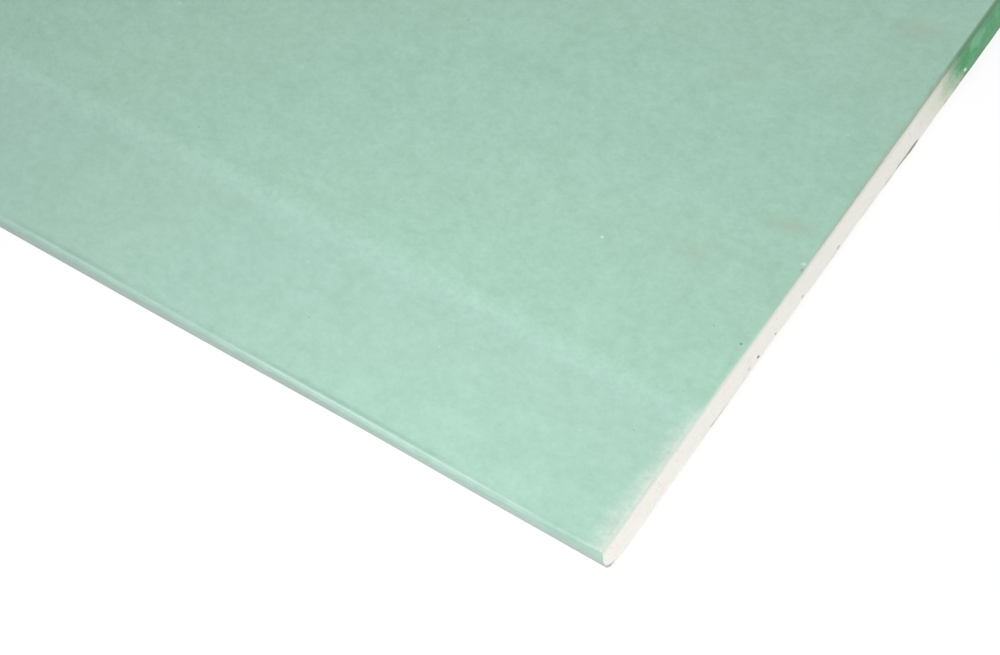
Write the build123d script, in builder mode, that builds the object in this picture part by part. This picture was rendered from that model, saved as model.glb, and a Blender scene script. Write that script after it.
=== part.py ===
"""Moisture-resistant drywall sheet with tapered, paper-bound long edges and cut ends.

The sheet lies on its back, face up. X runs along its length from cut end to cut end, Y across its
width from long edge to long edge, and Z up through its thickness. The origin is the middle of the
back, on the surface that the sheet lies on. All sizes are in millimetres.
"""

import os
from math import atan2, cos, sin, sqrt, tan

from build123d import *

# The whole sheet
board_length = 2400.0  # from cut end to cut end
board_width = 1200.0  # from long edge to long edge
board_thickness = 12.5  # between the tapers, both papers included

# The taper along each long edge, which leaves room for joint tape
taper_width = 57.0  # from the long edge to the line where the face starts to fall
taper_depth = 1.1  # fall of the face, at the long edge
shoulder_radius = 600.0  # rounding of the line where the face starts to fall

# The paper-bound long edge
bead_radius = 1.6  # rolled lip where the face paper turns down
bead_height = 0.25  # how far that lip stands above the taper
bead_root_radius = 3.0  # hollow between the taper and the lip
heel_radius = 2.0  # turn of the face paper onto the back

# The two papers
face_paper_thickness = 0.4
back_paper_thickness = 0.4
flap_showing = 9.0  # folded face paper that stays bare on the back, past the heel
flap_lap = 20.0  # folded face paper that lies under the back paper

# Places across the section, from the middle of the sheet outwards
half_width = board_width / 2
taper_start = half_width - taper_width
heel_start = half_width - heel_radius
back_paper_edge = heel_start - flap_showing
flap_end = back_paper_edge - flap_lap

# Heights in the section, from the floor upwards
wrap_bottom = back_paper_thickness  # underside of the folded face paper

# The taper's own directions: down it to the long edge, and square to it
taper_angle = atan2(taper_depth, taper_width)
down_taper = Vector(cos(taper_angle), -sin(taper_angle))
off_taper = Vector(sin(taper_angle), cos(taper_angle))

# The shoulder's arc touches the flat face and the taper equally far from the corner between them
shoulder = Vector(taper_start, board_thickness)
shoulder_reach = shoulder_radius * tan(taper_angle / 2)
face_end = shoulder - Vector(shoulder_reach, 0)
taper_top = shoulder + down_taper * shoulder_reach

# The lip's arc touches the long edge, and its root's arc touches both the lip and the taper
bead_center_y = half_width - bead_radius
taper_fall_at_bead = (bead_center_y - taper_start) * tan(taper_angle)
bead_center_z = board_thickness - taper_fall_at_bead + bead_height - bead_radius
bead_center = Vector(bead_center_y, bead_center_z)
bead_center_rise = (bead_height - bead_radius) * cos(taper_angle)  # square to the taper
root_rise = bead_root_radius - bead_center_rise
root_reach = sqrt((bead_radius + bead_root_radius) ** 2 - root_rise**2)
root_center = bead_center + off_taper * root_rise - down_taper * root_reach
bead_end = bead_center + (root_center - bead_center).normalized() * bead_radius
taper_end = root_center - off_taper * bead_root_radius

# Section of the wrapped sheet: gypsum and face paper together, without the back paper.
# The sketch's x is the sheet's Y, and its y is the sheet's Z.
with BuildSketch() as wrapped_section:
    with BuildLine():
        back = Line((0, wrap_bottom), (heel_start, wrap_bottom))
        heel = TangentArc(back @ 1, (half_width, wrap_bottom + heel_radius), tangent=back % 1)
        edge = Line(heel @ 1, (half_width, bead_center_z))
        bead = TangentArc(edge @ 1, bead_end, tangent=edge % 1)
        root = TangentArc(bead @ 1, taper_end, tangent=bead % 1)
        taper = Line(root @ 1, taper_top)
        turn = TangentArc(taper @ 1, face_end, tangent=taper % 1)
        face = Line(turn @ 1, (0, board_thickness))
        Line(face @ 1, back @ 0)
    make_face()
    mirror(about=Plane.YZ)

# Section of the gypsum: it fills the wrap, and comes down to the back paper between the flaps
with BuildSketch() as core_section:
    add(wrapped_section.sketch)
    offset(amount=-face_paper_thickness, mode=Mode.REPLACE)
    with Locations((0, wrap_bottom)):
        Rectangle(2 * flap_end, face_paper_thickness, align=(Align.CENTER, Align.MIN))

# Gypsum core, bare at both cut ends
with BuildPart() as gypsum_core:
    with BuildSketch(Plane.YZ):
        add(core_section.sketch)
    extrude(amount=board_length / 2, both=True)

# Green face paper, wrapped round both long edges and folded onto the back
with BuildPart() as face_paper:
    with BuildSketch(Plane.YZ):
        add(wrapped_section.sketch)
        add(core_section.sketch, mode=Mode.SUBTRACT)
    extrude(amount=board_length / 2, both=True)

# Grey back paper, which laps over the flaps and stops short of the long edges
with BuildPart() as back_paper:
    with BuildSketch(Plane.YZ):
        Rectangle(2 * back_paper_edge, back_paper_thickness, align=(Align.CENTER, Align.MIN))
    extrude(amount=board_length / 2, both=True)

os.makedirs("parts", exist_ok=True)
gypsum_core.part.label = "gypsum_core"
export_step(gypsum_core.part, "parts/gypsum_core.step")
face_paper.part.label = "face_paper"
export_step(face_paper.part, "parts/face_paper.step")
back_paper.part.label = "back_paper"
export_step(back_paper.part, "parts/back_paper.step")
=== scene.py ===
from math import cos, exp, pi, radians, sin, sqrt

import bmesh
import bpy
from mathutils import Matrix, Vector, noise


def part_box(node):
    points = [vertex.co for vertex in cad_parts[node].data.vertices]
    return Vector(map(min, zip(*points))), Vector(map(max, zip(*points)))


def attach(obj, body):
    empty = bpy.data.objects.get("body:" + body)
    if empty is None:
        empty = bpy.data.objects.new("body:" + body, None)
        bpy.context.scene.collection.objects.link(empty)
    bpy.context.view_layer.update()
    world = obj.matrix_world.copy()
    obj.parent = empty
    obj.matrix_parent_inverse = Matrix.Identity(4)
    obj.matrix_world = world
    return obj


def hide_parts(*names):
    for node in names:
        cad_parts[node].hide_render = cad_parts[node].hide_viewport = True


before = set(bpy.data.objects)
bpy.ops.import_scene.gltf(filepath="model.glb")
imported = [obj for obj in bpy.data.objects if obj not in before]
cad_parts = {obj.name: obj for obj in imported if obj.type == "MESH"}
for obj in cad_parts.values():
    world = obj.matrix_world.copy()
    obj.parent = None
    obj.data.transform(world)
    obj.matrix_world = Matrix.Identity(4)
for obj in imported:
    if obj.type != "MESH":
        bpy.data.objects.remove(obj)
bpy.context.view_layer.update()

mm = 0.001  # the frame is in metres
touching = 0.01 * mm  # places closer than this are one place
scene = bpy.context.scene
scene.view_settings.view_transform = "Standard"

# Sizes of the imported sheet
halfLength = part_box("face_paper")[1].x  # from the middle to a cut end
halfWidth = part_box("face_paper")[1].y  # from the middle to a long edge
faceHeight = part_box("face_paper")[1].z
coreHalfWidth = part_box("gypsum_core")[1].y
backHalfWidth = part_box("back_paper")[1].y
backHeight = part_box("back_paper")[1].z  # top of the back paper, where the wrapped sheet starts
paperThickness = halfWidth - coreHalfWidth
print("sheet", halfLength * 2, "by", halfWidth * 2, "by", faceHeight)

# The tapered, bound long edge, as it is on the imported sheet
boundEdge = {
    "taperWidth": 57 * mm,
    "taperDepth": 1.1 * mm,
    "shoulderReach": 6 * mm,  # rounding on each side of the line where the taper starts
    "lipCorner": 11.75 * mm,  # height where the side and the lip's inner slope would meet
    "lipReach": 1.15 * mm,  # rounding of the lip
    "hollowIn": 2.6 * mm,  # hollow inside the lip, from the long edge
    "hollowReach": 1.2 * mm,
    "heelReach": 2.2 * mm,  # rounding where the paper turns onto the back
    "flapWidth": 31 * mm,  # face paper on the back, lapped part included
    "nearLip": 12 * mm,  # the lip and its hollow lie within this of the long edge
}


def held(value):  # kept between 0 and 1
    return min(max(value, 0), 1)


def fade(distance, reach):  # 1 at no distance, 0 from the reach on
    return max(0, 1 - distance / reach)


def bump(distance, width):  # a smooth hump of height 1
    return exp(-((distance / width) ** 2))


def graded(share, gather):  # -1 to 1, with closer steps towards both ends
    return share + gather * sin(pi * share) / pi


def raised(value):  # noise from -1 to 1 becomes 0 to 1
    return 0.5 + 0.5 * value


def layered(spot, layers):  # noise in layers, each twice as fine as the last and half as strong
    return noise.fractal(spot, 1.0, 2.0, layers)


def signOf(value):
    return 1 if value > 0 else -1


def taperFall(y):
    share = (abs(y) - halfWidth + boundEdge["taperWidth"]) / boundEdge["taperWidth"]
    return boundEdge["taperDepth"] * held(share)


def sweepAlong(bm, swept, length):  # carries an extrusion to the other cut end
    moved = [v for v in swept["geom"] if isinstance(v, bmesh.types.BMVert)]
    bmesh.ops.translate(bm, vec=(length, 0, 0), verts=moved)
    bmesh.ops.recalc_face_normals(bm, faces=bm.faces[:])


def markCutEdges(bm, tilt):  # second material where the paper looks along the length
    for face in bm.faces:
        face.material_index = 1 if abs(face.normal.x) > tilt else 0


def newPiece(name, bm, materials, sharpAngle):
    mesh = bpy.data.meshes.new(name)
    bm.to_mesh(mesh)
    bm.free()
    for material in materials:
        mesh.materials.append(material)
    mesh.shade_smooth()
    mesh.set_sharp_from_angle(angle=radians(sharpAngle))
    piece = bpy.data.objects.new(name, mesh)
    scene.collection.objects.link(piece)
    mesh.calc_loop_triangles()
    print(name, len(mesh.loop_triangles), "triangles")
    return piece


# Materials

colourA, colourB, colourOut = 6, 7, 2  # sockets of a Mix node that mixes colours
shoulder = boundEdge["taperWidth"] / mm  # from the long edge, since materials count in mm


def linear(hexColour):  # sRGB hex to the linear colour that a socket takes
    parts = [int(hexColour[i : i + 2], 16) / 255 for i in (0, 2, 4)]
    return [p / 12.92 if p <= 0.04045 else ((p + 0.055) / 1.055) ** 2.4 for p in parts] + [1]


def addNode(tree, kind, settings, links=None):
    node = tree.nodes.new("ShaderNode" + kind)
    for name, value in settings.items():
        if isinstance(name, int) or name in node.inputs:
            node.inputs[name].default_value = value
        else:
            setattr(node, name, value)
    for name, source in (links or {}).items():
        tree.links.new(source, node.inputs[name])
    return node.outputs


def newMaterial(name):
    material = bpy.data.materials.new(name)
    material.use_nodes = True
    material.node_tree.nodes.clear()
    print("material", name)
    return material, material.node_tree


def sheetPlaces(tree, finish):  # where a point is on the sheet, in mm, and the finish's own patterns there
    coords = addNode(tree, "TexCoord", {})
    spot = addNode(tree, "VectorMath", {"operation": "SCALE", "Scale": 1 / mm}, {0: coords["Object"]})
    parts = addNode(tree, "SeparateXYZ", {}, {0: spot[0]})
    place = {"spot": spot[0], "x": parts["X"], "y": parts["Y"], "height": parts["Z"]}
    for name, axis, half in (("endGap", "x", halfLength), ("edgeGap", "y", halfWidth)):
        out = addNode(tree, "Math", {"operation": "ABSOLUTE"}, {0: place[axis]})
        place[name] = addNode(tree, "Math", {"operation": "SUBTRACT", 0: half / mm}, {1: out[0]})[0]
    for name, line in finish.get("lines", {}).items():  # distance to each side of a line along a long edge
        off = addNode(tree, "Math", {"operation": "SUBTRACT", 1: line}, {0: place["edgeGap"]})
        place[name] = addNode(tree, "Math", {"operation": "ABSOLUTE"}, {0: off[0]})[0]
    for name, (scale, turn) in finish.get("lays", {}).items():  # drawn out one way, and turned
        place[name] = addNode(tree, "Mapping", {"Scale": scale, "Rotation": (0, 0, radians(turn))},
                              {"Vector": place["spot"]})[0]
    for name, (size, detail, rough, lay) in finish["patterns"].items():
        place[name] = addNode(tree, "TexNoise", {"Scale": 1 / size, "Detail": detail, "Roughness": rough},
                              {"Vector": place[lay]})["Fac"]
    for name, (size, lay) in finish.get("cells", {}).items():
        place[name] = addNode(tree, "TexVoronoi", {"Scale": 1 / size}, {"Vector": place[lay]})["Distance"]
    for name, (source, start, end, atStart, atEnd, *smooth) in finish["reaches"].items():
        settings = {"From Min": start, "From Max": end, "To Min": atStart, "To Max": atEnd}
        if smooth:
            settings["interpolation_type"] = "SMOOTHSTEP"
        place[name] = addNode(tree, "MapRange", settings, {"Value": place[source]})[0]
    return place


def layCoats(tree, finish, ground, coats):  # a colour under coats, each over those before it
    for tint, masks in coats:
        mask = masks[0]
        for other in masks[1:]:
            mask = addNode(tree, "Math", {"operation": "MULTIPLY"}, {0: mask, 1: other})[0]
        settings, links = {"data_type": "RGBA"}, {0: mask}
        for socket, colour in ((colourA, ground), (colourB, tint)):
            if isinstance(colour, str):  # one of the finish's colours, by name
                settings[socket] = linear(finish[colour])
            else:
                links[socket] = colour
        ground = addNode(tree, "Mix", settings, links)[colourOut]
    return ground


def markMask(tree, place, at, half, turn, soft, strength):  # an oval spot that fades out from its middle
    local = addNode(tree, "Mapping", {"vector_type": "TEXTURE", "Location": at, "Scale": half,
                                      "Rotation": (0, 0, radians(turn))}, {"Vector": place["spot"]})
    middle = addNode(tree, "TexGradient", {"gradient_type": "SPHERICAL"}, {"Vector": local[0]})
    return addNode(tree, "MapRange", {"From Max": soft, "To Max": strength}, {"Value": middle["Fac"]})[0]


sprayMark = {  # green paint on the near cut end, in mm from the near corner
    "start": 202,  # first thin mist
    "solid": 219.5,
    "end": 330,  # most of it lies past the photograph's edge
    "ending": 25,  # length over which it fades
    "lowFrom": 5.0,  # height below which it starts later, and by how much at the second height
    "lowTo": 1.5,
    "lowLag": 3.5,
    "highFrom": 8.0,  # and above which
    "highTo": 12.0,
    "highLag": 4,
    "spots": ((1.3, 0.6, 0.6), (6.0, 0.5, 0.4)),  # speckle and drift: size, roughness, share
    "thin": 0.5,  # reach and spots together, where paint begins to show and where it covers
    "cover": 1.4,
    "trace": 0.001,  # reach below which there is none
    "soft": 0.45,  # of its border, to each side
}


def sprayMask(tree, place, lead, onto):  # starts lead mm sooner, and reaches onto mm in from the cut end
    start, end = sprayMark["start"] - lead, sprayMark["end"]
    border, soft = halfLength / mm - onto, sprayMark["soft"]
    fromCorner = addNode(tree, "Math", {"operation": "ADD", 1: halfWidth / mm}, {0: place["y"]})
    later = addNode(tree, "MapRange", {"From Min": sprayMark["lowFrom"], "From Max": sprayMark["lowTo"],
                                       "To Max": sprayMark["lowLag"]}, {"Value": place["height"]})
    along = addNode(tree, "Math", {"operation": "SUBTRACT"}, {0: fromCorner[0], 1: later[0]})
    first = addNode(tree, "MapRange", {"From Min": sprayMark["highFrom"], "From Max": sprayMark["highTo"],
                                       "To Min": start, "To Max": start + sprayMark["highLag"]},
                    {"Value": place["height"]})
    rising = addNode(tree, "MapRange", {"From Max": sprayMark["solid"] - lead},
                     {"Value": along[0], "From Min": first[0]})
    falling = addNode(tree, "MapRange", {"From Min": end - sprayMark["ending"], "From Max": end,
                                         "To Min": 1.0, "To Max": 0.0}, {"Value": fromCorner[0]})
    reach = addNode(tree, "Math", {"operation": "MINIMUM"}, {0: rising[0], 1: falling[0]})
    uneven = reach
    for size, rough, share in sprayMark["spots"]:
        spots = addNode(tree, "TexNoise", {"Scale": 1 / size, "Detail": 2.0, "Roughness": rough},
                        {"Vector": place["spot"]})
        uneven = addNode(tree, "Math", {"operation": "MULTIPLY_ADD", 1: share},
                         {0: spots["Fac"], 2: uneven[0]})
    mask = addNode(tree, "MapRange", {"From Min": sprayMark["thin"], "From Max": sprayMark["cover"]},
                   {"Value": uneven[0]})
    reached = addNode(tree, "Math", {"operation": "GREATER_THAN", 1: sprayMark["trace"]}, {0: reach[0]})
    atEnd = addNode(tree, "MapRange", {"From Min": border - soft, "From Max": border + soft},
                    {"Value": place["x"]})
    for part in (reached, atEnd):
        mask = addNode(tree, "Math", {"operation": "MULTIPLY"}, {0: mask[0], 1: part[0]})
    return mask[0]


greenPaper = {
    "dark": "89ad9b",
    "light": "a5c9b9",
    "taperDark": "91b0a6",  # rolled, along each long edge
    "taperLight": "a3c2ba",
    "streak": "b4d6cd",  # burnished, along each shoulder
    # pale rubs along the side, and a painted highlight along the lip's crest
    "rubbedAndHighlight": "dae6e2",
    # greyer, towards the bottom of the side
    "greyerLow": "a4acab",
    # grime, and painted shade, on the side
    "grimeAndShade": "94a09b",
    "dust": "e2ddd6",
    "darkerAtCut": "a3a08f",
    "sprayed": "5d8f6d",
    "lint": "bfdccf",
    "speck": "6f9080",
    "stain": "9da593",
    "torn": "d3e6dc",
    "ior": 1.5,
    "relief": 0.05 * mm,
    "reliefStrength": 0.25,
    "cloudShare": 0.4,  # of the dye's drift, beside the fibre mottle
    "toneFrom": 0.2,  # both together, from dark to light
    "toneTo": 1.2,
    "dustWidth": 7.0,  # mm in from the cut end
    "dustRagged": 1.7,
    "dustFrom": 0.81,  # reach and raggedness together, where dust begins to show and where it covers
    "dustTo": 1.61,
    "sprayLead": 0,
    "sprayOnto": 1.35,
    "lines": {"offShoulder": shoulder + 0.2, "offCrest": 1.4},  # mm from the long edge
    "lays": {
        "laid": ((1 / 1.35, 1, 1), 0),  # fibres lie along the length
        "rubs": ((1 / 14.0, 1 / 2, 1 / 1.1), 0),  # pale rubs along the side, 14 mm long and 1.1 mm high
        "smeared": ((0.45, 1, 1), 27),  # dust, dragged askew by 27 degrees
    },
    "patterns": {  # size in mm, detail, roughness, lay
        "clouds": (14.0, 1.0, 1.0, "laid"),  # drift of the dye
        "mottle": (3.2, 3.0, 0.8, "laid"),  # coarsest of the fibres
        "fibre": (0.8, 2.0, 0.6, "laid"),
        "scuffs": (1.0, 2.0, 0.6, "rubs"),
        "patches": (14.0, 3.0, 0.6, "spot"),
        "ragged": (5.0, 5.0, 0.75, "smeared"),
    },
    "reaches": {  # place in mm or pattern, from, to, strength at both, and whether it eases in and out
        "taper": ("edgeGap", shoulder + 5, shoulder - 5, 0, 0.3, "smooth"),
        "line": ("offShoulder", 0, 8.5, 0.8, 0, "smooth"),
        "breaks": ("mottle", 0.3, 0.7, 0.12, 0.3),
        "onSide": ("edgeGap", 0.9, 0.1, 0, 1),
        "lowDown": ("height", 10.5, 2.0, 0.1, 0.85),
        # painted shade on the side, with grime from hands, from 70 mm in from each cut end
        "handlingAndShade": ("endGap", 70, 135, 0, 0.42),
        "further": ("endGap", 152, 175, 1, 0.5),
        "atEnd": ("endGap", 16, 2, 0, 0.8),
        "onHeel": ("height", 4.5, 1.5, 0, 1),
        "scuffed": ("scuffs", 0.48, 0.75, 0, 0.24),
        "crest": ("offCrest", 0, 0.7, 1, 0, "smooth"),
        "onTop": ("height", 9.8, 10.6, 0, 1),
        "wornAndLit": ("patches", 0.38, 0.62, 0.25, 0.4),
        "offEnd": ("endGap", 29, 32, 0.3, 1),
        "nearEdge": ("edgeGap", 14, 58, 1.25, 0.75),
        "onTaper": ("edgeGap", 52, 63, 0.29, 0),
        "grains": ("mottle", 0.32, 0.68, 0.55, 1.35),
        "dustRim": ("endGap", 0, 1.9, 0.22, 0),
        "fading": ("edgeGap", 58, 140, 1, 0),
        "above": ("height", 10.8, 11.3, 0, 1),
        "cutRimReach": ("endGap", 0, 2.0, 0.75, 0),
        "clear": ("edgeGap", 90, 212, 0.05, 1.35),
        "rough": ("mottle", 0, 1, 0.72, 0.88),
    },
    "markTurn": 12,  # degrees
    "markDepth": 500,  # mm, so that height doesn't count
    "marks": [  # mm from the near corner: along, across, half length, half width, colour, strength, softness
        (-15, 133.9, 13, 4, "stain", 0.46, 1.0),
        (-38, 110, 11, 7, "stain", 0.27, 1.0),
        (-73, 98.9, 6, 4, "stain", 0.10, 1.0),
        (-19, 221.9, 13, 6, "stain", 0.42, 1.0),
        (-66, 178.9, 14, 6, "stain", 0.17, 1.0),
        (-88, 119.9, 58, 6, "lint", 0.06, 1.0),
        (-73, 100.3, 0.9, 0.7, "torn", 0.45, 0.5),
        (-3.1, 87.6, 0.65, 0.6, "speck", 1.0, 0.5),
        (-1.5, 123.2, 1.7, 0.9, "torn", 0.5, 0.8),
        (-0.8, 201.5, 1.2, 3.5, "sprayed", 0.55, 1.0),
        (-0.7, 206.5, 1.1, 3.5, "sprayed", 0.55, 1.0),
        (-0.6, 121.0, 1.3, 0.9, "speck", 0.6, 0.7),
    ],
    "fibreMiddle": 0.6,  # share of a fibre's half width that has its full strength
    "fibreStrength": 0.5,
    "fibres": [  # colour, mm apart, turn in degrees, how long for its width, half width in mm
        ("lint", 5.0, 20, 5.0, 0.16),
        ("lint", 6.0, -50, 5.0, 0.15),
        ("lint", 15.0, 0, 1.0, 0.45),
        ("speck", 12.0, 10, 2.0, 0.33),
    ],
}


def greenLinerBoard():  # dyed, sized board paper: matte, cloudy with laid fibres, pale where it is rubbed, with a painted highlight along the lip's crest and painted shade on the side
    material, tree = newMaterial("greenLinerBoard")
    place = sheetPlaces(tree, greenPaper)
    tone = addNode(tree, "Math", {"operation": "MULTIPLY_ADD", 1: greenPaper["cloudShare"]},
                   {0: place["clouds"], 2: place["mottle"]})
    tone = addNode(tree, "MapRange", {"From Min": greenPaper["toneFrom"], "From Max": greenPaper["toneTo"]},
                   {"Value": tone[0]})[0]
    rolled = layCoats(tree, greenPaper, "taperDark", [("taperLight", [tone])])
    coats = [("light", [tone]), (rolled, [place["taper"]])]

    # Stains and spots, the burnished line along each shoulder, loose fibres and dark specks
    for along, across, halfLong, halfWide, tint, strength, soft in greenPaper["marks"]:
        at = (halfLength / mm + along, across - halfWidth / mm, 0)
        half = (halfLong, halfWide, greenPaper["markDepth"])
        coats.append((tint, [markMask(tree, place, at, half, greenPaper["markTurn"], soft, strength)]))
    coats.append(("streak", [place["line"], place["breaks"]]))
    for tint, cell, turn, stretch, size in greenPaper["fibres"]:
        turned = addNode(tree, "Mapping", {"Rotation": (0, 0, radians(turn))}, {"Vector": place["spot"]})
        drawn = addNode(tree, "Mapping", {"Scale": (1 / stretch, 1, 1)}, {"Vector": turned[0]})
        cells = addNode(tree, "TexVoronoi", {"Scale": 1 / cell}, {"Vector": drawn[0]})
        strand = addNode(tree, "MapRange", {"From Min": size / cell * greenPaper["fibreMiddle"],
                                            "From Max": size / cell, "To Min": greenPaper["fibreStrength"],
                                            "To Max": 0.0}, {"Value": cells["Distance"]})
        coats.append((tint, [strand[0]]))

    # Grime from hands on the side with painted shade there, from 70 mm in from each cut end, and dirt from
    # dragging with painted shade at the low corner
    handlingAndShade = addNode(tree, "Math", {"operation": "MULTIPLY"}, {0: place["handlingAndShade"], 1: place["further"]})
    heelGrimeAndShade = addNode(tree, "Math", {"operation": "MULTIPLY"}, {0: place["atEnd"], 1: place["onHeel"]})
    grimeAndShade = addNode(tree, "Math", {"operation": "MAXIMUM"}, {0: handlingAndShade[0], 1: heelGrimeAndShade[0]})

    # Gypsum dust, ragged on the taper beside a cut end, thin along the rim past it
    reach = addNode(tree, "Math", {"operation": "MULTIPLY_ADD", 1: -1 / greenPaper["dustWidth"]},
                    {0: place["endGap"], 2: place["nearEdge"]})
    uneven = addNode(tree, "Math", {"operation": "MULTIPLY_ADD", 1: greenPaper["dustRagged"]},
                     {0: place["ragged"], 2: reach[0]})
    dust = addNode(tree, "MapRange", {"From Min": greenPaper["dustFrom"], "From Max": greenPaper["dustTo"]},
                   {"Value": uneven[0]})
    for part in ("onTaper", "grains"):
        dust = addNode(tree, "Math", {"operation": "MULTIPLY"}, {0: dust[0], 1: place[part]})
    rim = addNode(tree, "Math", {"operation": "MULTIPLY"}, {0: place["dustRim"], 1: place["fading"]})
    dust = addNode(tree, "Math", {"operation": "ADD"}, {0: dust[0], 1: rim[0]})

    coats += [
        # greyer towards the bottom of the side
        ("greyerLow", [place["onSide"], place["lowDown"]]),
        # grime and painted shade on the side
        ("grimeAndShade", [grimeAndShade[0], place["onSide"]]),
        ("rubbedAndHighlight", [place["scuffed"], place["onSide"]]),
        # painted highlight along the lip's crest, partly a rub of the paper
        ("rubbedAndHighlight", [place[part] for part in ("crest", "onTop", "wornAndLit", "offEnd", "further")]),
        ("dust", [dust[0], place["above"]]),
        # darker within 2 mm of each cut end, more so towards the middle of the end
        ("darkerAtCut", [place["cutRimReach"], place["clear"]]),
        ("sprayed", [sprayMask(tree, place, greenPaper["sprayLead"], greenPaper["sprayOnto"])]),
    ]
    colour = layCoats(tree, greenPaper, "dark", coats)
    relief = addNode(tree, "Bump", {"Strength": greenPaper["reliefStrength"],
                                    "Distance": greenPaper["relief"]}, {"Height": place["fibre"]})
    shader = addNode(tree, "BsdfPrincipled", {"IOR": greenPaper["ior"]},
                     {"Base Color": colour, "Roughness": place["rough"], "Normal": relief[0]})
    addNode(tree, "OutputMaterial", {}, {"Surface": shader["BSDF"]})
    return material


cutBoard = {
    "grey": "8c8675",
    "pale": "aaa491",
    "dusty": "dae4d8",
    "chalkyAndLit": "e9ece4",
    "grimyAndShaded": "b0b5ad",
    "painted": "568a68",
    "ior": 1.5,
    "roughness": 0.9,
    "sprayLead": -1,
    "sprayOnto": 3,
    "patterns": {"strands": (1.6, 3.0, 0.7, "spot")},
    "reaches": {
        "nearEdge": ("edgeGap", 70, 150, 0.9, 0.4),
        "low": ("height", 11.2, 9.5, 0, 1),
        "heel": ("height", 5.0, 2.6, 0, 1),
        "corner": ("edgeGap", 4.5, 1.5, 0, 1),
    },
}


def cutLinerEdge():  # cut edge of the board paper: undyed grey fibre, rough, dusty where the core crumbled
    material, tree = newMaterial("cutLinerEdge")
    place = sheetPlaces(tree, cutBoard)
    colour = layCoats(tree, cutBoard, "grey", [
        ("pale", [place["strands"]]),
        ("dusty", [place["nearEdge"]]),
        # chalk dust, and painted light that lifts the shade, low on the cut edges
        ("chalkyAndLit", [place["low"]]),
        # dirt and painted shade on the paper's cut edges at the heel
        ("grimyAndShaded", [place["heel"], place["corner"]]),
        ("painted", [sprayMask(tree, place, cutBoard["sprayLead"], cutBoard["sprayOnto"])]),
    ])
    shader = addNode(tree, "BsdfPrincipled", {"IOR": cutBoard["ior"], "Roughness": cutBoard["roughness"]},
                     {"Base Color": colour})
    addNode(tree, "OutputMaterial", {}, {"Surface": shader["BSDF"]})
    return material


gypsum = {
    "cream": "eeede7",
    "rosy": "efe9e6",
    "olive": "e9e9e0",
    "grey": "dcdad2",
    # painted shade, in pores and small pits
    "pitShade": "b9b6aa",
    "chalkAndLight": "f8f8f2",  # fresh, on the crumbled lower rim, and painted light that lifts the shade there
    "rim": "b9cdb8",  # darker, just under the face paper
    "dirtAndShade": "c0c3bb",  # dirt and painted shade, on the heel
    "mist": "d0d6c2",
    "paint": "6eb188",
    "paintDeep": "4f9560",
    "paintDull": "69957a",
    "paintThin": "82a48a",
    "paintLight": "84c4a2",
    # painted shade of a small deep pit
    "deepPitShade": "6f6e66",
    "speck": "f4f4ee",
    "ior": 1.52,
    "roughness": 0.95,
    "rimDepth": 2.2,  # mm below the face paper
    "rimStrength": 0.5,
    "heelFrom": 0.95,  # out round the heel, of the two reaches aside and below
    "heelTo": 1.55,
    "heelStrength": 0.9,
    "mistLead": 15,
    "mistStrength": 0.55,
    "sprayLead": 0,
    "sprayOnto": 3,
    "patterns": {
        "clouds": (9.0, 3.0, 0.6, "spot"),
        "grit": (1.2, 3.0, 0.7, "spot"),
        "patches": (5.0, 4.0, 0.65, "spot"),  # of the paint
    },
    "cells": {"pores": (5.0, "spot")},
    "reaches": {
        "rosy": ("clouds", 0.45, 0.65, 0, 1),
        "olive": ("clouds", 0.45, 0.3, 0, 1),
        "grey": ("grit", 0.5, 0.75, 0, 0.55),
        "pore": ("pores", 0.04, 0.1, 0.35, 0),
        "low": ("height", 0.8, 2.4, 0.7, 0),
        "fall": ("edgeGap", shoulder, 0, 0, boundEdge["taperDepth"] / mm),
        "aside": ("edgeGap", 2.4, 0.4, 0, 2.0),
        "below": ("height", 2.8, 0.8, 0, 2.0),
        "corner": ("edgeGap", 4.0, 1.6, 0, 1),
        "turned": ("height", 4.0, 2.0, 0, 1),
        "deep": ("patches", 0.35, 0.65, 0, 0.85),
        "dull": ("height", 9.0, 11.8, 0, 0.75),
        "thin": ("height", 5.5, 1.5, 0, 0.6),
    },
    "markDepth": 5,
    "markSoft": 0.5,
    "marks": [  # mm from the near corner: along, height, half length, half height, colour, strength
        (89.6, 2.9, 0.8, 0.7, "deepPitShade", 1.0),
        (99.9, 2.5, 0.7, 0.7, "pitShade", 0.8),
        (138.4, 2.2, 1.2, 0.8, "pitShade", 0.8),
        (116.5, 2.4, 1.0, 0.6, "pitShade", 0.8),
        (84.2, 3.2, 1.0, 0.8, "pitShade", 0.6),
        (220.0, 6.6, 4.5, 3.0, "paintDeep", 0.4),
        (228.5, 8.8, 5.5, 3.6, "paintLight", 0.5),
        (218.9, 3.0, 0.9, 0.9, "speck", 1.0),
    ],
}


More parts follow.
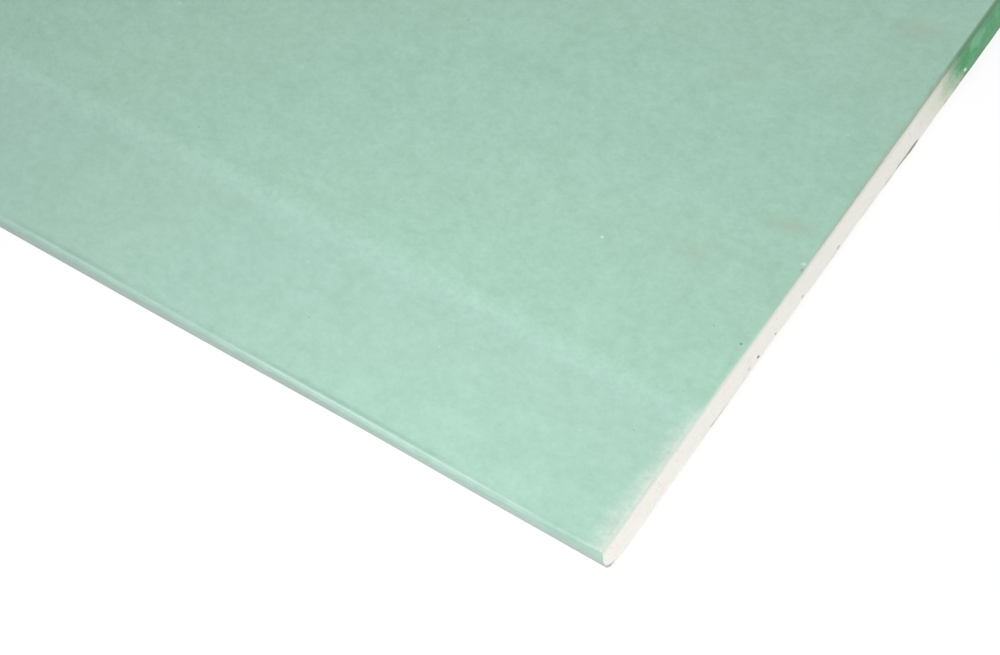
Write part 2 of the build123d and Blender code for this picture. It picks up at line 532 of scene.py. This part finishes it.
def castGypsum():  # set gypsum, foamed and sawn: chalky, cream, with fine pores and no shine
    material, tree = newMaterial("castGypsum")
    place = sheetPlaces(tree, gypsum)
    under = addNode(tree, "Math", {"operation": "SUBTRACT", 0: (faceHeight - paperThickness) / mm},
                    {1: place["fall"]})
    under = addNode(tree, "Math", {"operation": "SUBTRACT"}, {0: under[0], 1: place["height"]})
    rim = addNode(tree, "MapRange", {"From Max": gypsum["rimDepth"], "To Min": gypsum["rimStrength"],
                                     "To Max": 0.0}, {"Value": under[0]})
    out = addNode(tree, "CombineXYZ", {}, {"X": place["aside"], "Y": place["below"]})
    out = addNode(tree, "VectorMath", {"operation": "LENGTH"}, {0: out[0]})
    heel = addNode(tree, "MapRange", {"From Min": gypsum["heelFrom"], "From Max": gypsum["heelTo"],
                                      "To Max": gypsum["heelStrength"]}, {"Value": out["Value"]})
    misty = addNode(tree, "Math", {"operation": "MULTIPLY", 1: gypsum["mistStrength"]},
                    {0: sprayMask(tree, place, gypsum["mistLead"], gypsum["sprayOnto"])})
    paint = layCoats(tree, gypsum, "paint", [
        ("paintDeep", [place["deep"]]),
        ("paintDull", [place["dull"]]),
        ("paintThin", [place["thin"]]),
    ])
    coats = [
        ("rosy", [place["rosy"]]),
        ("olive", [place["olive"]]),
        ("grey", [place["grey"]]),
        # painted shade in the pores
        ("pitShade", [place["pore"]]),
        # fresh chalk and painted light along the low rim
        ("chalkAndLight", [place["low"]]),
        ("rim", [rim[0]]),
        # dirt and painted shade on the rounded heel
        ("dirtAndShade", [heel[0], place["corner"], place["turned"]]),
        ("mist", [misty[0]]),
        (paint, [sprayMask(tree, place, gypsum["sprayLead"], gypsum["sprayOnto"])]),
    ]
    for along, height, halfLong, halfTall, tint, strength in gypsum["marks"]:
        at = (halfLength / mm, along - halfWidth / mm, height)
        half = (gypsum["markDepth"], halfLong, halfTall)
        coats.append((tint, [markMask(tree, place, at, half, 0, gypsum["markSoft"], strength)]))
    colour = layCoats(tree, gypsum, "cream", coats)
    shader = addNode(tree, "BsdfPrincipled", {"IOR": gypsum["ior"], "Roughness": gypsum["roughness"]},
                     {"Base Color": colour})
    addNode(tree, "OutputMaterial", {}, {"Surface": shader["BSDF"]})
    return material


greyPaper = {
    "dark": "a09d95",
    "light": "c0bdb4",
    "fleck": "73706a",
    "ior": 1.5,
    "roughness": 0.88,
    "relief": 0.05 * mm,
    "reliefStrength": 0.25,
    "lays": {"laid": ((0.4, 1, 1), 0)},
    "patterns": {"mottle": (8.0, 5.0, 0.9, "laid"), "fibre": (0.8, 2.0, 0.5, "laid")},
    "cells": {"flecks": (7.0, "laid")},
    "reaches": {"fleck": ("flecks", 0.03, 0.07, 0.5, 0)},
}


def greyLinerBoard():  # recycled back paper: grey, flecked with darker fibres
    material, tree = newMaterial("greyLinerBoard")
    place = sheetPlaces(tree, greyPaper)
    colour = layCoats(tree, greyPaper, "dark", [("light", [place["mottle"]]), ("fleck", [place["fleck"]])])
    relief = addNode(tree, "Bump", {"Strength": greyPaper["reliefStrength"],
                                    "Distance": greyPaper["relief"]}, {"Height": place["fibre"]})
    shader = addNode(tree, "BsdfPrincipled", {"IOR": greyPaper["ior"], "Roughness": greyPaper["roughness"]},
                     {"Base Color": colour, "Normal": relief[0]})
    addNode(tree, "OutputMaterial", {}, {"Surface": shader["BSDF"]})
    return material


# Face paper

wrap = {
    "lengthCuts": 420,
    "gather": 0.6,  # how much closer the cuts are at the ends
    "flatColumns": 60 * mm,
    "edgeColumns": 1.0 * mm,
    "finePitch": 1.0 * mm,  # along the cut ends
    "cutFrom": 1.5 * mm,  # shorter edges there stay whole
    "sharpAngle": 35,
    "cutTilt": 0.6,
    "rounding": {  # corner of the outline: its reach, and segments
        1: ("heelReach", 6),
        2: ("lipReach", 10),
        3: ("hollowReach", 6),
        5: ("shoulderReach", 4),
    },
    "onBack": 1 * mm,  # lower than this is the flap
    "ragged": 0.35 * mm,  # how far the cut ends wander inwards
    "raggedGrain": 2.2 * mm,
    "raggedSeed": 3.7,
    "swell": 0.75 * mm,  # how far the lip stands up
    "swellIn": 1.7 * mm,  # its crest, from the long edge
    "swellWidth": 1.25 * mm,
    "swellFoot": 9 * mm,  # height from which it grows
    "swellRise": 2 * mm,
    "swellStart": 60 * mm,  # from a cut end
    "swellFull": 78 * mm,
    "swellSpots": ((115 * mm, 60 * mm), (255 * mm, 35 * mm)),  # from the near cut end, and half length
    "wander": (0.22, 0.36, 45 * mm, 7.3, 0.4),  # level, swing, length, and two seeds
    "flutter": (0.85, 0.4, 9 * mm, 3.1, 5.2),
    "sink": 0.25 * mm,  # hollow behind it
    "sinkIn": 4.3 * mm,
    "sinkWidth": 1.7 * mm,
    "leaning": 1.5 * mm,  # lip pushed in, beside a cut end
    "leaningReach": 35 * mm,
    "leaningIn": 4.5 * mm,
    "lipFoot": 6.5 * mm,  # height from which it leans and swells
    "lipRise": 4 * mm,
    "pressed": 0.65 * mm,  # heel pushed in, beside the near corner
    "pressedMiddle": 115 * mm,
    "pressedSpan": 60 * mm,
    "pressedHeight": 7 * mm,
    "pressedIn": 3 * mm,
    "knocks": (0, 0.5, 60 * mm, 5.7, 1.3),  # and elsewhere
    "flapWear": 0.8 * mm,  # flap ends worn back towards the middle
    "flapFrom": 22 * mm,  # from the long edge
    "flapSpan": 40 * mm,
    "heelWear": 0.75 * mm,  # and at the heel
    "heelIn": 7 * mm,
    "heelHeight": 6 * mm,
}


def wearAlong(y):  # 0 over the folded edge, 1 well past the flap
    return held((halfWidth - abs(y) - wrap["flapFrom"]) / wrap["flapSpan"])


def atHeel(y, z):  # 1 at the low corner of a cut end, which is rubbed back
    return fade(halfWidth - abs(y), wrap["heelIn"]) * fade(z, wrap["heelHeight"])


def lipLean(y, z, endGap):  # how far the lip is pushed in
    outer = fade(halfWidth - abs(y), wrap["leaningIn"])
    high = held((z - wrap["lipFoot"]) / wrap["lipRise"])
    return wrap["leaning"] * outer * high * fade(endGap, wrap["leaningReach"])


def waver(x, side, level, swing, length, seed, otherSeed):  # along a long edge, different on each side
    return level + swing * noise.noise((x / length, side * seed, otherSeed))


def lipSwell(x, side):  # how full the lip is, along the edge
    spots = max(bump(halfLength - x - middle, span) for middle, span in wrap["swellSpots"])
    inside = (halfLength - abs(x) - wrap["swellStart"]) / (wrap["swellFull"] - wrap["swellStart"])
    return max(waver(x, side, *wrap["wander"]), spots) * waver(x, side, *wrap["flutter"]) * held(inside)


def runsAlong(edge):
    return abs(edge.verts[0].co.x - edge.verts[1].co.x) > halfLength


def atCutEnd(vert):
    return abs(abs(vert.co.x) - halfLength) < touching


def columnPitch(edge):
    middle = (edge.verts[0].co + edge.verts[1].co) / 2
    onLip = abs(middle.y) > halfWidth - boundEdge["nearLip"] and middle.z > wrap["onBack"]
    return wrap["edgeColumns"] if onLip else wrap["flatColumns"]


def cutToPitch(bm, edges, pitchOf, gridFill):  # even steps of about a pitch
    byCuts = {}
    for edge in edges:
        byCuts.setdefault(round(edge.calc_length() / pitchOf(edge)) - 1, []).append(edge)
    for cuts, group in byCuts.items():
        if cuts > 0:
            bmesh.ops.subdivide_edges(bm, edges=group, cuts=cuts, use_grid_fill=gridFill)


def makeFacePaper(materials):
    hollowAt = halfWidth - boundEdge["hollowIn"]
    slopeAt = halfWidth - boundEdge["nearLip"]
    outline = [
        (halfWidth - boundEdge["flapWidth"], backHeight),
        (halfWidth, backHeight),
        (halfWidth, boundEdge["lipCorner"]),
        (hollowAt, faceHeight - taperFall(hollowAt)),
        (slopeAt, faceHeight - taperFall(slopeAt)),
        (halfWidth - boundEdge["taperWidth"], faceHeight),
        (0, faceHeight),
    ]
    bm = bmesh.new()
    verts = [bm.verts.new((-halfLength, y, z)) for y, z in outline]
    for start, end in zip(verts, verts[1:]):
        bm.edges.new((start, end))
    bmesh.ops.mirror(bm, geom=bm.verts[:] + bm.edges[:], matrix=Matrix.Identity(4), merge_dist=touching,
                     axis="Y")
    sweepAlong(bm, bmesh.ops.extrude_edge_only(bm, edges=bm.edges[:]), 2 * halfLength)

    for corner, (reach, segments) in wrap["rounding"].items():
        y, z = outline[corner]
        folds = [e for e in bm.edges if runsAlong(e) and abs(abs(e.verts[0].co.y) - y) < touching
                 and abs(e.verts[0].co.z - z) < touching]
        bmesh.ops.bevel(bm, geom=folds, offset=boundEdge[reach], offset_type="OFFSET", affect="EDGES",
                        segments=segments, profile=0.5, material=-1)

    # Columns across, then cuts along
    cutToPitch(bm, [e for e in bm.edges if not runsAlong(e)], columnPitch, True)
    longs = [e for e in bm.edges if runsAlong(e)]
    bmesh.ops.subdivide_edges(bm, edges=longs, cuts=wrap["lengthCuts"], use_grid_fill=True)
    for vert in bm.verts:
        vert.co.x = halfLength * graded(vert.co.x / halfLength, wrap["gather"])

    # Fuller, thinner and leaning stretches of the lip
    for vert in bm.verts:
        edgeGap = halfWidth - abs(vert.co.y)
        if vert.co.z < wrap["lipFoot"] or edgeGap > boundEdge["nearLip"]:
            continue
        side = signOf(vert.co.y)
        rise = wrap["swell"] * bump(edgeGap - wrap["swellIn"], wrap["swellWidth"])
        rise *= held((vert.co.z - wrap["swellFoot"]) / wrap["swellRise"])
        sink = wrap["sink"] * bump(edgeGap - wrap["sinkIn"], wrap["sinkWidth"])
        vert.co.z += lipSwell(vert.co.x, side) * (rise - sink)
        vert.co.y -= side * lipLean(vert.co.y, vert.co.z, halfLength - abs(vert.co.x))

    # Heel pressed in
    for vert in bm.verts:
        if vert.co.z < wrap["pressedHeight"] and halfWidth - abs(vert.co.y) < wrap["pressedIn"]:
            side = signOf(vert.co.y)
            push = max(0, waver(vert.co.x, side, *wrap["knocks"]))
            if side < 0:
                push = max(push, bump(halfLength - vert.co.x - wrap["pressedMiddle"], wrap["pressedSpan"]))
            vert.co.y -= side * wrap["pressed"] * push * fade(vert.co.z, wrap["pressedHeight"])

    # Rough cut ends
    rims = [e for e in bm.edges if e.is_boundary and all(atCutEnd(v) for v in e.verts)
            and e.calc_length() > wrap["cutFrom"]]
    cutToPitch(bm, rims, lambda edge: wrap["finePitch"], False)
    for vert in bm.verts:
        if not atCutEnd(vert):
            continue
        sign = signOf(vert.co.x)
        grain = wrap["raggedGrain"]
        spot = Vector((sign * wrap["raggedSeed"], vert.co.y / grain, vert.co.z / grain))
        vert.co.x -= sign * wrap["ragged"] * held(raised(layered(spot, layers=3)))
        if vert.co.z < wrap["onBack"]:
            vert.co.x -= sign * wrap["flapWear"] * wearAlong(vert.co.y)
        vert.co.x -= sign * wrap["heelWear"] * atHeel(vert.co.y, vert.co.z)
    bmesh.ops.triangulate(bm, faces=[f for f in bm.faces if len(f.verts) > 4])
    bmesh.ops.solidify(bm, geom=bm.faces[:], thickness=paperThickness)
    markCutEdges(bm, wrap["cutTilt"])
    return newPiece("facePaper", bm, materials, wrap["sharpAngle"])


# Gypsum core

core = {
    "columns": 1700,
    "rows": 17,
    "gather": 0.8,
    "rowGather": 0.65,
    "sharpAngle": 50,
    "lipRadius": 0.85 * mm,
    "lipRise": 0.17 * mm,
    "lipFade": 1.2 * mm,
    "heelRadius": 2.0 * mm,
    "heelWear": 0.95 * mm,
    "seed": 11.3,
    "sawn": 0.22 * mm,  # depth of the broad unevenness
    "sawnWave": 7 * mm,
    "grain": 0.12 * mm,
    "grainSize": 1.6 * mm,
    "poreDepth": 0.5 * mm,
    "poreCell": 4.5 * mm,
    "poreRadius": 0.17,  # of a cell
    "poreSlope": 1.8,
    "poreFloor": 1.6,  # mm above the floor, where pores begin
    "arris": 0.75 * mm,  # lower arris crumbled away, between the flaps
    "arrisHeight": 1.3 * mm,
    "arrisCurve": 1.5,
    "arrisMiddle": 115 * mm,  # most of it, from the near corner
    "arrisSpan": 75 * mm,
    "arrisLeast": 0.1,
    "chip": 1.0 * mm,
    "chipLength": 6 * mm,
    "chipSeeds": (4.1, 0.7),
    "sliver": 184.9 * mm,  # chip that bares the back paper, from the near corner
    "sliverHalf": 2.6 * mm,
    "sliverTail": 5.2 * mm,  # towards the near corner
    "sliverDepth": 1.15 * mm,
}


def roundOff(inside, radius):  # rise of a rounded corner, some way in from its side
    return sqrt(max(0, radius * radius - (radius - inside) ** 2))


def coreTop(y):
    inside, radius = coreHalfWidth - abs(y), core["lipRadius"]
    top = faceHeight - paperThickness - taperFall(y)
    if inside < radius:
        return top + core["lipRise"] - radius + roundOff(inside, radius)
    return top + core["lipRise"] * bump(inside - radius, core["lipFade"])


def coreBottom(y):
    inside, radius = coreHalfWidth - abs(y), core["heelRadius"]
    onFlap = abs(y) > halfWidth - boundEdge["flapWidth"]
    low = backHeight + (paperThickness if onFlap else 0)
    return low + radius - roundOff(inside, radius) if inside < radius else low


def arrisWear(y):
    share = bump(y + halfWidth - core["arrisMiddle"], core["arrisSpan"])
    return core["arrisLeast"] + (1 - core["arrisLeast"]) * share


def sliverAt(y):
    distance = y + halfWidth - core["sliver"]
    return bump(distance, core["sliverTail"] if distance < 0 else core["sliverHalf"])


def endDepth(y, z, sign):  # how far the sawn end lies behind the sheet's full length
    spot = Vector((sign * core["seed"], y, z))
    broad = raised(noise.noise(spot / core["sawnWave"]))
    fine = raised(layered(spot / core["grainSize"], layers=2))
    nearest = noise.voronoi(spot / core["poreCell"])[0][0]
    pore = fade(nearest, core["poreRadius"]) * held(z / mm - core["poreFloor"])
    depth = core["sawn"] * broad + core["grain"] * held(fine)
    depth += core["poreDepth"] * min(1, pore * core["poreSlope"])
    seed, otherSeed = core["chipSeeds"]
    chips = max(0, layered((y / core["chipLength"], sign * seed, otherSeed), layers=3))
    crumbled = wearAlong(y) * arrisWear(y) * (core["arris"] * (0.5 + broad) + core["chip"] * chips)
    if sign > 0:
        crumbled += core["sliverDepth"] * sliverAt(y)
    low = fade(z - backHeight, core["arrisHeight"])
    return depth + core["heelWear"] * atHeel(y, z) + low ** core["arrisCurve"] * crumbled


def makeCore(materials):
    bm = bmesh.new()
    bmesh.ops.create_grid(bm, x_segments=core["columns"], y_segments=core["rows"], size=1)
    for vert in bm.verts:
        y = coreHalfWidth * graded(vert.co.x, core["gather"])
        share = (graded(vert.co.y, core["rowGather"]) + 1) / 2
        vert.co = (halfLength, y, coreBottom(y) + share * (coreTop(y) - coreBottom(y)))
    swept = bmesh.ops.extrude_face_region(bm, geom=bm.faces[:], use_keep_orig=True)
    sweepAlong(bm, swept, -2 * halfLength)
    for vert in bm.verts:
        sign = signOf(vert.co.x)
        vert.co.x -= sign * endDepth(vert.co.y, vert.co.z, sign)
        vert.co.y -= signOf(vert.co.y) * lipLean(vert.co.y, vert.co.z, 0)
    return newPiece("gypsumCore", bm, materials, core["sharpAngle"])


# Back paper

back = {
    "columns": 400,
    "lengthCuts": 100,
    "gather": 0.7,
    "sharpAngle": 35,
    "cutTilt": 0.6,
    "rim": 0.999,  # share of the half length or half width, from which a point is on the rim
    "torn": 0.8 * mm,  # the paper is torn back from the cut ends
    "ragged": 0.45 * mm,
    "raggedSeed": 2.5,
    "frayed": 0.4 * mm,  # along the long edges
    "frayedSeed": 6.5,
    "waves": 60,  # of both, along half a side
    "drift": 3,
    "bared": 0.75,  # how much less is torn where a chip of gypsum bares it
}


def makeBackPaper(materials):
    bm = bmesh.new()
    bmesh.ops.create_grid(bm, x_segments=back["lengthCuts"], y_segments=back["columns"], size=1)
    for vert in bm.verts:
        x, y = vert.co.x, graded(vert.co.y, back["gather"])
        inX, inY = 0, 0
        if abs(x) > back["rim"]:
            ragged = raised(layered((y * back["waves"], back["raggedSeed"], x * back["drift"]), layers=3))
            inX = back["torn"] * arrisWear(y * backHalfWidth) + back["ragged"] * ragged
        if x > 0:
            inX *= 1 - back["bared"] * sliverAt(y * backHalfWidth)
        if abs(y) > back["rim"]:
            frayed = raised(noise.noise((x * back["waves"], back["frayedSeed"], y * back["drift"])))
            inY = back["frayed"] * frayed
        vert.co = (x * (halfLength - inX), y * (backHalfWidth - inY), 0)
    bmesh.ops.reverse_faces(bm, faces=bm.faces[:])
    bmesh.ops.solidify(bm, geom=bm.faces[:], thickness=backHeight)
    markCutEdges(bm, back["cutTilt"])
    return newPiece("backPaper", bm, materials, back["sharpAngle"])


cutEdge = cutLinerEdge()
pieces = {
    "face_paper": (makeFacePaper([greenLinerBoard(), cutEdge]), "green_paper"),
    "gypsum_core": (makeCore([castGypsum()]), "gypsum"),
    "back_paper": (makeBackPaper([greyLinerBoard(), cutEdge]), "grey_paper"),
}
for node, (piece, slotName) in pieces.items():
    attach(piece, "root")
    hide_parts(node)
print("pieces ride on the frame")

# Camera, found from the straight lines of the sheet's near corner
view = {
    "fromCorner": Vector((453, -206.1, 831)) * mm,
    "azimuth": 64.2,
    "elevation": 53.9,
    "roll": 31.7,
    "lens": 105.05,
    "sensor": 36,
    "clipStart": 0.01,
}


def makeCamera():
    az, el, roll = (radians(view[k]) for k in ("azimuth", "elevation", "roll"))
    behind = Vector((sin(az) * cos(el), -cos(az) * cos(el), sin(el)))
    level = (-behind).cross(Vector((0, 0, 1))).normalized()
    down = (-behind).cross(level)
    right = level * cos(roll) + down * sin(roll)
    up = behind.cross(right)
    camera = bpy.data.objects.new("camera", bpy.data.cameras.new("camera"))
    camera.data.lens = view["lens"]
    camera.data.sensor_width = view["sensor"]
    camera.data.clip_start = view["clipStart"]
    place = Matrix((right, up, behind)).transposed().to_4x4()
    place.translation = Vector((halfLength, -halfWidth, 0)) + view["fromCorner"]
    camera.matrix_world = place
    scene.collection.objects.link(camera)
    scene.camera = camera


makeCamera()

# Floor and light
studio = {
    "floorSize": 40,
    "floorCells": 4,
    "floorColour": "f2f2f0",
    "floorDrop": 0.1 * mm,
    "floorGlow": 0.85,  # of white, as the camera sees the floor
    "floorShade": 0.15,  # of white, for the sheet's shadow
    "skyColour": "ffffff",
    "sky": 0.67,  # as it lights the sheet
    "skySeen": 1.0,
    "keyFromCorner": Vector((-38, -122, 351)) * mm,
    "keyAim": Vector((-156, 84, 12)) * mm,
    "keySize": 0.16,
    "keyLevel": 0.58,  # of a colour as written, at the lamp's aim
    "fillFromCorner": Vector((1000, -380, 500)) * mm,
    "fillSize": 0.7,
    "fillLevel": 0.19,
}


def areaLamp(name, place, aim, size, level):
    lamp = bpy.data.lights.new(name, "AREA")
    lamp.shape = "DISK"
    lamp.size = size
    lamp.energy = level * pi**2 * (place - aim).length_squared
    holder = bpy.data.objects.new(name, lamp)
    holder.location = place
    holder.rotation_mode = "QUATERNION"
    holder.rotation_quaternion = (aim - place).to_track_quat("-Z", "Y")
    holder.visible_camera = False
    scene.collection.objects.link(holder)


def seenByCamera(tree):  # 1 for what the camera sees, reflected or through glass as well
    path = addNode(tree, "LightPath", {})
    seen = path["Is Camera Ray"]
    for ray in ("Is Glossy Ray", "Is Transmission Ray"):
        seen = addNode(tree, "Math", {"operation": "MAXIMUM"}, {0: seen, 1: path[ray]})[0]
    return seen


def makeSky():
    world = bpy.data.worlds.new("softSky")
    world.use_nodes = True
    tree = world.node_tree
    tree.nodes.clear()
    strength = addNode(tree, "MapRange", {"To Min": studio["sky"], "To Max": studio["skySeen"]},
                       {"Value": seenByCamera(tree)})
    sky = addNode(tree, "Background", {"Color": linear(studio["skyColour"])}, {"Strength": strength[0]})
    addNode(tree, "OutputWorld", {}, {"Surface": sky[0]})
    scene.world = world


def makeFloor():
    material, tree = newMaterial("paleFloor")
    matte = addNode(tree, "BsdfDiffuse", {"Color": linear(studio["floorColour"])})
    shade = addNode(tree, "BsdfDiffuse", {"Color": [studio["floorShade"]] * 3 + [1]})
    glow = addNode(tree, "Emission", {"Strength": studio["floorGlow"]})
    shown = addNode(tree, "AddShader", {}, {0: shade[0], 1: glow[0]})
    both = addNode(tree, "MixShader", {}, {0: seenByCamera(tree), 1: matte[0], 2: shown[0]})
    addNode(tree, "OutputMaterial", {}, {"Surface": both[0]})
    bm = bmesh.new()
    bmesh.ops.create_grid(bm, x_segments=studio["floorCells"], y_segments=studio["floorCells"],
                          size=studio["floorSize"] / 2)
    bmesh.ops.translate(bm, vec=(0, 0, -studio["floorDrop"]), verts=bm.verts[:])
    floor = newPiece("floor", bm, [material], 180)


makeSky()
makeFloor()
corner = Vector((halfLength, -halfWidth, 0))
areaLamp("key", corner + studio["keyFromCorner"], corner + studio["keyAim"], studio["keySize"],
         studio["keyLevel"])
areaLamp("fill", corner + studio["fillFromCorner"], corner, studio["fillSize"], studio["fillLevel"])
print("camera, floor and lamps are set")
